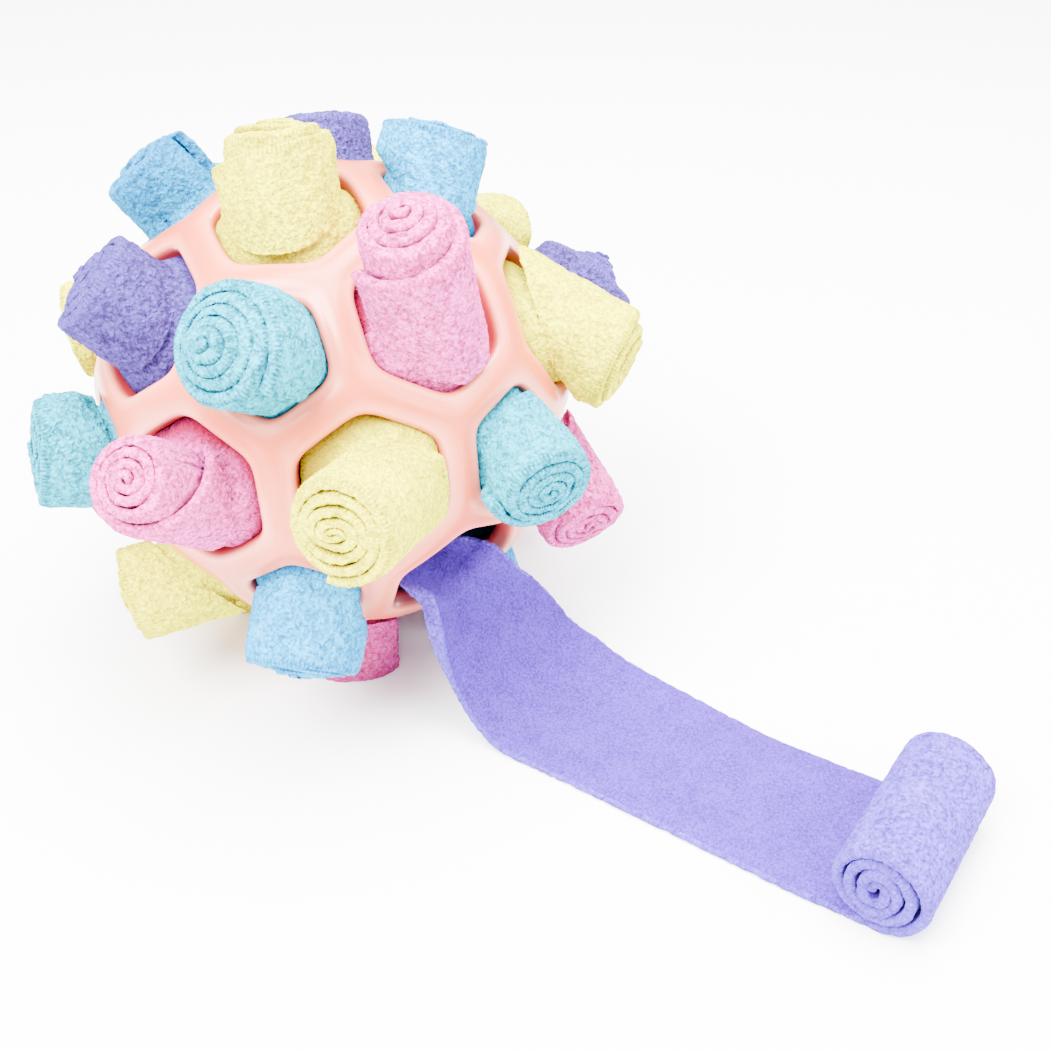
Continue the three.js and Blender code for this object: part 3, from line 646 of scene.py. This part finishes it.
def makeRoll(row, shape, seed):
    centre, corners = openings[row["ring"], row["place"]]
    cageRadius, wall = cageShape["radius"], cageShape["wall"]
    east, north = eastNorth(centre)
    leanEast, leanNorth = math.tan(math.radians(row["east"])), math.tan(math.radians(row["north"]))
    axis = unit(centre + east * leanEast + north * leanNorth)
    innerAxis = unit(0.7 * axis + 0.6 * centre)     # it leans less inside the cage
    side = unit(east - axis * (east @ axis))
    rise = np.cross(axis, side)
    seat = centre * cageRadius + east * row["shiftEast"] + north * row["shiftNorth"]
    cloth, turn = shape["cloth"], shape["turn"]
    step = shape["seenStep"] if row["ring"] in seenRings else shape["hiddenStep"]
    turns = (row["radius"] - shape["core"]) / turn

    # stations along the winding, closer in radius the further they are wound in
    stops = [0.0]
    while stops[-1] < turns:
        radius = max(row["radius"] - turn * stops[-1], 2.0)
        stops.append(stops[-1] + step / (2 * math.pi * radius))
    wound = np.array(stops)
    # a few more at each end round off the cloth's end
    close = np.array([1.0, 0.72, 0.3])
    extra = len(close)
    lead = np.concatenate([close, np.zeros(len(wound)), close[::-1]])
    wound = np.concatenate([np.full(extra, wound[0]), wound, np.full(extra, wound[-1])])
    wound[:extra] += np.array([1.2, 0.3, 0.0]) * 0.3 / (2 * math.pi * row["radius"])
    angle = math.radians(row["loose"]) + row["wind"] * wound * 2 * math.pi
    x, y = np.cos(angle), np.sin(angle)
    body = wound <= shape["overlap"]
    roundIn = shape["round"]
    roundOut = roundIn + (shape["roundOuter"] - roundIn) * (1 - ease((wound - 0.7) / 0.5))

    squeeze = row["squeeze"] * ease((wound - 0.4) / max(turns - 0.4, 1))
    lift = shape["endLift"] * (1 - ease(wound / 0.12))

    def place(level, radius):
        near = (level - row["reach"] + shape["domeFrom"]) / shape["domeOver"]
        radius = radius * (1 - shape["dome"] * ease(near))
        wideX = x * radius * (1 + squeeze)
        wideY = y * radius * (1 - squeeze)
        return seat + np.outer(level, axis) + np.outer(wideX, side) + np.outer(wideY, rise)

    def reaching(points, way, size):
        # how far along the way each point must go to be this far from the ball's middle
        along = points @ way
        return -along + np.sqrt(np.maximum(along ** 2 - (points ** 2).sum(1) + size ** 2, 0))

    def holdIn(points, gap):
        # keeps points inside the walls of the opening
        way = unit(points)
        polar = np.arccos(np.clip(way @ centre, -1, 1))
        spoke = unit(way - centre * np.cos(polar)[:, None])
        limit = edgeAngle(centre, corners, spoke, cageShape["rib"] / 2 + gap)
        polar = np.minimum(polar, limit)
        way = centre * np.cos(polar)[:, None] + spoke * np.sin(polar)[:, None]
        return way * np.linalg.norm(points, axis=1, keepdims=True)

    def within(level, radius, gap):
        # in its opening the roll follows its lean until the walls hold it
        points = seat + np.outer(x * radius, east) + np.outer(y * radius, north)
        return holdIn(points + np.outer(reaching(points, innerAxis, level), innerAxis), gap)

    def radiusAt(key):
        add, fall = shape[key]
        return row["radius"] + add - fall * wound

    hem = lead * cloth * (wound < 0.5)
    seatRadius = row["seat"] - shape["neck"][1] * wound - 0.6 * hem
    neck = np.minimum(seatRadius, radiusAt("neck"))
    belly = radiusAt("belly") + lift - hem
    waist = radiusAt("waist") + lift - hem
    outer = radiusAt("end") + lift
    # how far along its axis each part of the roll leaves the cage
    leave = reaching(place(np.zeros(len(x)), belly), axis, cageRadius + shape["clear"])

    # height of the cut edge: the turns stand out one after another, the loose corner hangs back
    height = row["reach"] - row["drop"] * (1 - np.minimum(wound, 1))
    height += shape["turnLift"] * row["drop"] * np.clip(wound - 1, 0, 1)
    height += row["cone"] * ease((wound - 1) / max(turns - 1, 1))
    height -= row["slack"] * (1 - np.clip(wound / row["slackTurn"], 0, 1)) ** shape["slackCurve"]
    ripple = latticeNoise(np.stack([x * 9, y * 9, wound * 7 + seed * 31.7], 1), 5.0, 11) - 0.5
    top = np.maximum(height + ripple * shape["ripple"], leave + shape["leastOut"])
    # the cut edge of the turn outside, and how deep each turn's outer face starts
    before = np.interp(wound - 1, wound, top)
    lowerFace = np.maximum(top - shape["faceDepth"], leave + shape["faceStart"])
    lowerTurn = np.minimum(before - shape["turnCover"], top - shape["turnDepth"])
    lower = np.where(body, lowerFace, lowerTurn)

    # points that shape the roll, from the inner end outwards
    endGap, innerGap, middleGap, edgeGap, outerGap = shape["wallGaps"]
    innerEnd = np.full(len(x), shape["innerEnd"])
    controls = [
        np.outer(innerEnd, centre) + np.outer(x * 0.2, east) + np.outer(y * 0.2, north),
        within(shape["innerHold"], seatRadius * 0.7, endGap),
        within(cageRadius - wall + 0.3, seatRadius + shape["innerFill"], innerGap),
        within(cageRadius - wall / 2, neck + shape["middleFill"], middleGap),
        within(cageRadius - 0.6, neck, edgeGap),
        holdIn(place(leave, belly), outerGap),
        place((leave + lower) / 2, waist),
        place(lower, outer - hem),
    ]
    outside = max(4, round((row["reach"] - 3) / 2 / step))
    parts = (*shape["bodySteps"], outside, outside)
    where = [k + j / n for k, n in enumerate(parts) for j in range(n)]
    bodyRows = smoothLine(np.array(controls), np.array(where))
    # the cloth bends over a rib and never into it
    size = np.linalg.norm(bodyRows, axis=2, keepdims=True)
    over = np.array(where)[:, None, None] > 4
    bodyRows = np.where(over & (size < cageRadius + 0.4), bodyRows / size * (cageRadius + 0.4), bodyRows)

    rows = list(bodyRows)
    start = len(bodyRows)
    # painted shade: the cloth is darker the deeper it lies in the cage
    inDeep = np.interp(where, (0, 2, 3, 3.7, 4.2), (2.0, 1.6, 0.6, 0.12, 0))
    deepMark = [np.full(len(x), v) for v in inDeep]
    rimMark = [np.zeros(len(x))] * start
    crossway = list(np.linspace(-30, -5, start))

    # the loose corner turns outward
    flare = min(shape["flare"] * row["slack"], shape["flareMost"]) * (1 - ease(wound / 0.3))

    # each turn's cut edge slopes up to the next one in
    climb = np.clip(np.interp(wound + 1, wound, top) - top, 0, shape["slopeMost"])
    slope = climb * ease((wound - 0.8) / 0.4) * shape["slope"]

    def addRow(level, inset, deep, rim, across, turnedOut=1.0):
        # inset is how far inside the turn's outer face the row lies; deep is a painted shade mark, rim the
        # painted light and shade of the cut edge's tufts
        level = level - slope * (1 - np.minimum(inset / cloth, 1))
        inset = np.minimum(np.maximum(inset, lead * cloth), outer - 0.1)
        rows.append(place(level, outer - inset + flare * turnedOut))
        deepMark.append(np.broadcast_to(deep, len(x)))
        rimMark.append(np.full(len(x), rim))
        crossway.append(across)

    # outer face, with painted shade where the turn outside covers it
    buried = np.where(body, 0, 1.0)
    for share in np.linspace(0, 1, shape["faceRows"]):
        level = lower + (top - roundOut - lower) * share
        above = (level - (before - 0.2)) / 1.6
        addRow(level, 0.0, buried * (1 - ease(above)) * 0.85, 0.6 * share ** 4, -5 + 5 * share, share ** 2)
    # over the cut edge, with painted shade where it rounds down towards the groove
    for a in (30, 60, 90):
        c, s = math.cos(math.radians(a)), math.sin(math.radians(a))
        addRow(top - roundOut * (1 - s), roundOut * (1 - c), 0.0, 0.9 - a / 120, a / 90)
    for a in (90, 60, 30, 0):
        c, s = math.cos(math.radians(a)), math.sin(math.radians(a))
        level = top - roundIn * (1 - s)
        addRow(level, cloth - roundIn * (1 - c), 0.45 * (1 - s), 0.15 + 0.85 * c, 2 + a / 90)
    # down the groove, which is shallow where the middle is wound tight, with painted shade down in it
    shallow = 0.15 + 0.85 * ease((outer - cloth) / 3)
    for depth in shape["grooveSteps"]:
        addRow(top - roundIn - depth * shallow, cloth, shallow * min(1.1, 0.5 + depth / 3), 0.6, 3 + depth)

    grid = np.stack(rows, 1)               # [along, across, 3]
    normal = gridNormals(grid) * row["wind"]
    flat = grid.reshape(-1, 3)
    nap = napHeight(flat + seed * 37.0, shape["curl"])
    soft = latticeNoise(flat + seed * 11.0, shape["swaySize"], 8) - 0.5
    # the pile is lower at the cut edges and in the grooves, and there is none at the inner end
    edgeRow = start + shape["faceRows"]
    fade = np.ones(grid.shape[:2])
    fade[:, :4] = 0
    fade[:, edgeRow:] = 0.6
    fade[:, -len(shape["grooveSteps"]):] = 0.2
    fade[:extra] = fade[-extra:] = 0.5
    sway = np.where(np.arange(grid.shape[1]) < edgeRow - 2, shape["sway"], 0) * fade
    push = nap * shape["nap"] * fade.ravel() + soft * sway.ravel()
    flat = flat + normal.reshape(-1, 3) * push[:, None]
    flat[:, 2] = np.maximum(flat[:, 2], 0.05 - ballCentre[2] / mm)

    # only the outer wrap goes down into the opening
    index = np.arange(len(flat)).reshape(grid.shape[:2])
    last = int(np.searchsorted(wound[extra:], shape["overlap"])) + extra
    quads = np.vstack([gridQuads(index[:last + 1, :start + 1]), gridQuads(index[:, start:])])
    if row["wind"] < 0:
        quads = quads[:, ::-1]
    marks = {
        "paintedShade": np.maximum(np.stack(deepMark, 1).ravel(), rollPaintedShade.get(row["name"], 0)),
        "rim": np.stack(rimMark, 1).ravel(),
    }
    steps = np.linalg.norm(np.diff(grid[:, edgeRow + 1], axis=0), axis=1)
    length = np.concatenate([[0], np.cumsum(steps)])
    uv = np.stack(np.meshgrid(length, crossway, indexing="ij"), -1).reshape(-1, 2)
    return makePiece("cloth_" + row["name"], flat + ballCentre / mm, quads, [fleece[row["colour"]]],
                     ["roll_" + row["name"]], uv, marks)


faces = 0
for number, values in enumerate(rollTable):
    row = dict(zip(rollColumns, values))
    row["colour"] = row["name"].split("_")[-1]
    roll = makeRoll(row, rollShape, number + 1)
    faces += len(roll.data.polygons)
print("rolls made,", faces, "faces")


stripShape = {
    "cloth": 2.4,
    "width": 41.0,
    "step": 0.75,          # spacing of the points
    "openLength": 225,     # length that sets how many of them the open part has
    "curl": 1.5,           # width and height of the pile's curls
    "nap": 0.3,
    "smoothNap": 0.2,      # height of the smooth side's grain
    "thin": 0.4,           # how much the cloth thins at its cut edges, and from which share of its width
    "thinFrom": 0.85,
    "hemFrom": 0.8,        # where the left margin starts to turn over, and how far it goes in and up
    "hemIn": 1.35,
    "hemUp": 0.66,
    "margin": 0.8,         # how far a cut edge bulges out, against half the cloth
    "heading": -34.0,      # which way the strip lies on the floor
    "coilCentre": (134.4, -98.6, 11.75),
    "squeeze": 0.22,       # how oval the coil's inner turns are
    "creep": 0.25,         # how far each turn of the coil is shifted sideways
    "settle": 15,          # points over which a change of the coil's radius is spread
}
# points across the strip's middle surface, from the cage to the coil:
# left margin, middle, right margin, and how far the left margin turns over
stripStations = [
    ((15.5, -41.6, 40.8), (21.6, -29.2, 37.4), (28, -31.5, 42.5), 0),
    ((18.6, -49.5, 40.8), (26.4, -35.2, 34.9), (35.5, -33.5, 42.6), 0.6),
    ((23.3, -54.6, 40), (30, -39.2, 32), (40.8, -35.2, 41.5), 1),
    ((24.6, -57.6, 34), (32.8, -39.2, 27), (46, -32, 33), 1),
    ((25.5, -58, 26), (36.8, -40, 21.6), (52, -28.6, 24.5), 0.8),
    ((28, -57.5, 16.5), (41.6, -41.4, 14.6), (56.5, -27.6, 17.5), 0.6),
    ((31.5, -58, 9.8), (45.2, -42.8, 8.8), (60, -28.4, 13), 0.4),
    ((36.5, -60.4, 4.6), (49.7, -45, 4.6), (63.4, -29.6, 10.4), 0.2),
    ((42.6, -63.6, 1.8), (54.8, -47.6, 2), (67.6, -31.4, 8.4), 0),
    ((51, -68.8, 1.2), (62.6, -52, 1.2), (74.2, -35.6, 5.4), 0),
    ((61.4, -75.4, 1.2), (72.9, -58.6, 1.2), (84.4, -41.8, 3), 0),
    ((71.6, -82.2, 1.2), (83.1, -65.2, 1.2), (94.6, -48.4, 1.6), 0),
    ((87, -92.4, 1.2), (98, -76, 1.2), (108.6, -59.4, 1.2), 0),
    ((104.8, -104.4, 1.2), (115.9, -87.6, 1.2), (126.6, -70.6, 1.2), 0),
]
# the coil's outer face: turns wound so far, and its radius there
coilRadius = (
    (0, 12.3), (0.25, 11.75), (0.5, 11.15), (0.75, 10.6),
    (1, 9.1), (1.25, 8.4), (1.5, 8.2), (1.75, 7.9),
    (2, 6.5), (2.25, 5.9), (2.5, 5.6), (2.75, 5.3),
    (3, 4.1), (3.25, 3.5), (3.5, 3.2), (3.7, 3.0),
)


def facesOutward(points, quads):
    # true if the closed mesh holds a positive volume
    a, b, c, d = (points[quads[:, k]] for k in range(4))
    volume = np.einsum("ij,ij->i", a, np.cross(b, c)) + np.einsum("ij,ij->i", a, np.cross(c, d))
    return volume.sum() > 0


def makeStrip(shape, stations, windings):
    half = shape["cloth"] / 2
    heading = math.radians(shape["heading"])
    along = np.array([math.cos(heading), math.sin(heading), 0])
    across = np.array([-math.sin(heading), math.cos(heading), 0])
    coil = np.array(shape["coilCentre"])
    shares = np.linspace(-1, 1, int(shape["width"] / shape["step"]))
    count = len(shares)
    wide = shape["width"] / 2

    # middle surface of the part that lies open
    lines = []
    for left, middle, right, lip in stations:
        left, middle, right = (np.array(v, float) for v in (left, middle, right))
        reach = (right - left) / 2
        bow = (right + left) / 2 - middle
        line = middle + np.outer(shares, reach) + np.outer(shares ** 2, bow)
        hem = np.maximum(0, -shape["hemFrom"] - shares) * np.linalg.norm(reach)
        turnOver = shape["hemIn"] * unit(reach)
        if np.linalg.norm(bow) > 0.05:
            turnOver = turnOver + shape["hemUp"] * unit(bow)
        line += np.outer(hem * lip, turnOver)
        line[:, 2] = np.maximum(line[:, 2], half)
        lines.append(line)
    foot = coil * (1, 1, 0) + up * half
    lines.append(foot + np.outer(shares * wide, across))
    where = np.linspace(0, len(lines) - 1, int(shape["openLength"] / shape["step"]))
    openPart = smoothLine(np.array(lines), where)
    flatNormal = gridNormals(openPart)

    # then it winds up: under the coil, round the far side and over
    turns, radii = np.array(windings).T
    length = 2 * math.pi * (np.diff(turns) * (radii[1:] + radii[:-1]) / 2).sum()
    wound = np.linspace(0, turns[-1], int(length / shape["step"]))[1:]
    outer = np.interp(wound, turns, radii)
    kernel = np.ones(shape["settle"]) / shape["settle"]
    outer = np.convolve(np.pad(outer, shape["settle"] // 2, mode="edge"), kernel, mode="valid")
    turn = -math.pi / 2 + wound * 2 * math.pi
    oval = shape["squeeze"] * ease((wound - 1.2) / 2)
    outward = np.outer(np.cos(turn), along) + np.outer(np.sin(turn), up)
    radial = np.outer(np.cos(turn) * (1 - oval), along) + np.outer(np.sin(turn) * (1 + oval), up)
    coilLine = coil + radial * (outer - half)[:, None]
    wander = latticeNoise(np.stack([wound * 5, wound * 0, wound * 0], 1), 1.0, 21) - 0.5
    wander -= shape["creep"] * np.minimum(wound, 3)
    coilPart = coilLine[:, None, :] + (shares * wide)[None, :, None] * across
    coilPart = coilPart + wander[:, None, None] * across
    coilNormal = np.repeat(-outward[:, None, :], count, 1)
    middle = np.vstack([openPart, coilPart])
    normal = unit(np.vstack([flatNormal, coilNormal]))
    if normal[len(openPart) // 2, count // 2, 2] < 0:
        normal[:len(openPart)] *= -1
    for _ in range(3):
        normal[1:-1] = unit(normal[:-2] + 2 * normal[1:-1] + normal[2:])

    # the cloth thins a little towards its cut edges where it lies open
    outLeft, outRight = unit(middle[:, 0] - middle[:, 1]), unit(middle[:, -1] - middle[:, -2])
    isOpen = (np.arange(len(middle)) < len(openPart)).astype(float)[:, None]
    thinFrom = shape["thinFrom"]
    thin = 1 - shape["thin"] * isOpen * ease((np.abs(shares) - thinFrom) / (1 - thinFrom))[None, :]
    middle = middle - normal * (half * (1 - thin))[..., None]

    # loop round the cloth: upper side, right margin, under side, left margin
    columns, kinds, ways = [], [], []

    def addColumn(kind, way, points):
        columns.append(points)
        kinds.append(kind)
        ways.append(way)

    def addMargin(column, outwards, way):
        # down round the right margin, up round the left one
        for a in (60, 20, -20, -60):
            a = math.radians(a * way)
            c, d = math.cos(a) * shape["margin"], math.sin(a)
            points = middle[:, column] + outwards * half * c
            points = points + normal[:, column] * half * d * thin[:, column, None]
            addColumn("margin", way, points)

    for j in range(count):
        addColumn("upper", shares[j], middle[:, j] + normal[:, j] * half * thin[:, j:j + 1])
    addMargin(-1, outRight, 1.0)
    for j in reversed(range(count)):
        addColumn("under", shares[j], middle[:, j] - normal[:, j] * half * thin[:, j:j + 1])
    addMargin(0, outLeft, -1.0)
    grid = np.stack(columns, 1)
    kinds = np.array(kinds)
    ways = np.array(ways)
    loop = np.concatenate([grid[:, -1:], grid, grid[:, :1]], 1)
    out = np.cross(np.gradient(loop, axis=0), np.gradient(loop, axis=1))[:, 1:-1]
    out = -unit(out)
    if out[len(openPart) // 2, count // 2, 2] < 0:
        out = -out
    flat = grid.reshape(-1, 3)
    nap = napHeight(flat + 500.0, shape["curl"])
    fine = latticeNoise(flat, 0.9, 31) + latticeNoise(flat, 2.2, 32) - 1.0
    kind = np.tile(kinds, len(grid))
    push = np.where(kind == "upper", fine * shape["smoothNap"], nap * shape["nap"])
    flat = flat + out.reshape(-1, 3) * push[:, None]
    flat[:, 2] = np.maximum(flat[:, 2], 0.05)

    index = np.arange(len(flat)).reshape(grid.shape[:2])
    quads = gridQuads(index, closed=True)
    face = np.concatenate([kinds[:-1] == "upper", [False]])
    faceSlots = np.tile(np.where(face, 1, 0), len(grid) - 1)
    # flat faces close the two ends
    under = np.flatnonzero(kinds == "under")[::-1]
    ends = []
    for row, flip in ((0, False), (len(grid) - 1, True)):
        for j in range(count - 1):
            a, b, c, d = index[row, j], index[row, j + 1], index[row, under[j + 1]], index[row, under[j]]
            ends.append((d, c, b, a) if flip else (a, b, c, d))
    quads = np.vstack([quads, ends])
    faceSlots = np.concatenate([faceSlots, np.zeros(len(ends), int)])
    if not facesOutward(flat, quads):
        quads = quads[:, ::-1]

    # painted shade: the cloth's faces hidden inside the coil take on the deep colour, except near the cut
    # edges
    inCoil = np.concatenate([np.zeros(len(openPart)), wound])
    fromEdge = (1 - np.abs(ways)) * wide
    deep = ease(fromEdge / 3.0)[None, :] * np.ones(len(grid))[:, None]
    hiddenUpper = (inCoil > 0.02)[:, None] & (kinds == "upper")[None, :]
    hiddenUnder = (inCoil > 1.02)[:, None] & (kinds == "under")[None, :]
    paintedShade = np.where(hiddenUpper | hiddenUnder, deep, 0).ravel()
    # painted light and shade of the tufts along the strip's left cut edge
    rim = np.tile(((kinds == "margin") & (ways < 0)) * 0.75, len(grid))
    steps = np.linalg.norm(np.diff(middle[:, count // 2], axis=0), axis=1)
    length = np.concatenate([[0], np.cumsum(steps)])
    uv = np.stack(np.meshgrid(length, ways * wide, indexing="ij"), -1).reshape(-1, 2)
    shift = np.array([ballCentre[0], ballCentre[1], 0]) / mm
    piece = makePiece("looseStrip", flat + shift, quads, [fleece["lavender"], smoothFleece],
                      ["loose_strip"], uv, {"paintedShade": paintedShade, "rim": rim}, faceSlots)
    print("strip length", round(float(length[-1]), 1), "mm")
    return piece, float(length[-1])


strip, stripLength = makeStrip(stripShape, stripStations, coilRadius)


cameraPlace = {
    "from": (0.0485, -0.2955, 0.1686),    # from the ball's middle
    "down": 35.5,
    "lens": 44.816,
    "sensor": 36,
    "clip": (0.01, 20),
}


def makeCamera(look):
    data = bpy.data.cameras.new("camera")
    data.lens = look["lens"]
    data.sensor_width = look["sensor"]
    data.clip_start, data.clip_end = look["clip"]
    camera = bpy.data.objects.new("camera", data)
    camera.location = Vector(ballCentre) + Vector(look["from"])
    camera.rotation_euler = (math.radians(90 - look["down"]), 0, 0)
    bpy.context.scene.collection.objects.link(camera)
    bpy.context.scene.camera = camera


studio = {
    "floor": (0.93, 0.93, 0.93),
    "floorSize": 6.0,
    "floorRoughness": 0.9,
    "floorSpecular": 0.1,
    "world": 3.6,
    # name, place, width and power of each lamp
    "lamps": [
        ("key", (-0.45, -0.5, 1.0), 0.7, 100.0),
        ("fill", (0.75, -0.45, 0.6), 0.8, 26.0),
        ("top", (0.1, 0.1, 1.15), 0.9, 95.0),
    ],
}


def makeStudio(look):
    size = look["floorSize"]
    corners = [(-size, -size, 0), (size, -size, 0), (size, size, 0), (-size, size, 0)]
    mesh = bpy.data.meshes.new("floor")
    mesh.from_pydata(corners, [], [(0, 1, 2, 3)])
    floor = bpy.data.objects.new("floor", mesh)
    bpy.context.scene.collection.objects.link(floor)
    material, _, shader = newMaterial("paleFloor")
    setInputs(shader, {
        "Base Color": (*look["floor"], 1),
        "Roughness": look["floorRoughness"],
        "Specular IOR Level": look["floorSpecular"],
    })
    mesh.materials.append(material)
    world = bpy.data.worlds.new("studio")
    world.use_nodes = True
    setInputs(world.node_tree.nodes["Background"], {"Color": (1, 1, 1, 1), "Strength": look["world"]})
    bpy.context.scene.world = world
    for name, place, wide, power in look["lamps"]:
        data = bpy.data.lights.new(name, "AREA")
        data.shape = "DISK"
        data.size = wide
        data.energy = power
        lamp = bpy.data.objects.new(name, data)
        lamp.location = place
        lamp.rotation_euler = Vector(place).to_track_quat("Z", "Y").to_euler()
        bpy.context.scene.collection.objects.link(lamp)


makeCamera(cameraPlace)
makeStudio(studio)
print("camera and studio made")
